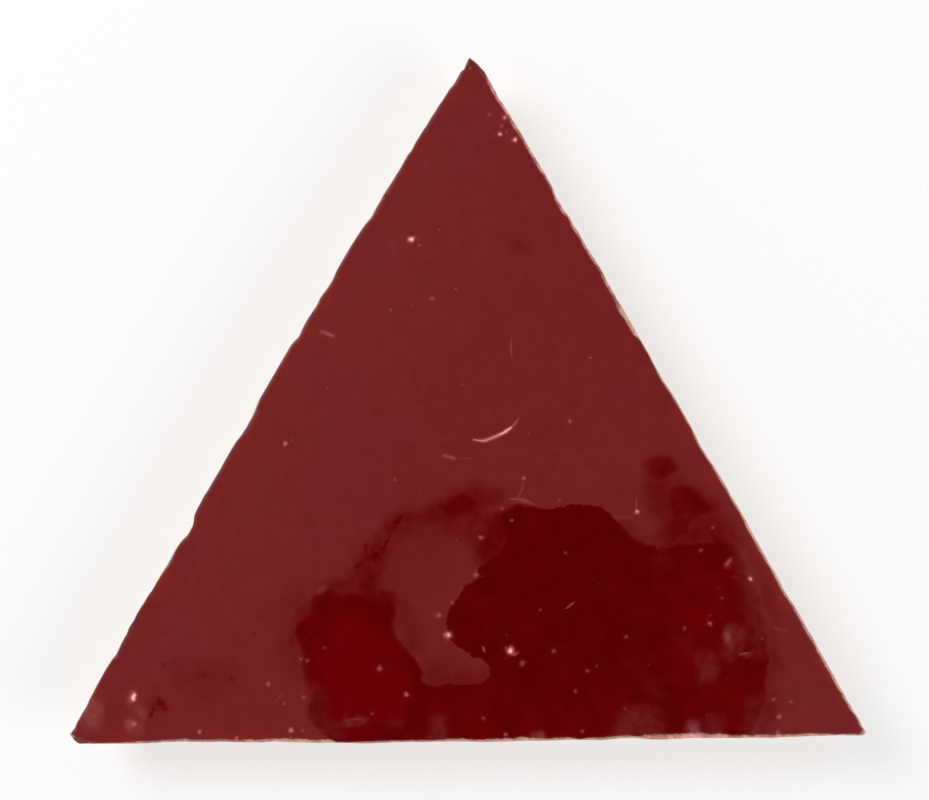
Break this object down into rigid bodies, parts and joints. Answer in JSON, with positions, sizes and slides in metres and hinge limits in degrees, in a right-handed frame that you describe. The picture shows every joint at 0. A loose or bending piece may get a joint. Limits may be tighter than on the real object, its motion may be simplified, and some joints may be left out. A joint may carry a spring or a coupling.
{
  "type": "zellige tile",
  "caption": "Hand-cut triangular zellige tile of fired clay with a red glazed face, chiselled undercut sides and a flat back.",
  "frame": {"origin": "on the plane of the back, below the middle of the tile's bounding box", "axes": "+Z out of the glazed face, +X along the base edge, +Y from the base edge towards the opposite corner"},
  "size_m": [0.1006, 0.0866, 0.0114],
  "materials": {
    "glazed_clay": "gloss"
  },
  "bodies": {
    "root": {"tile": "glazed_clay"}
  },
  "joints": []
}
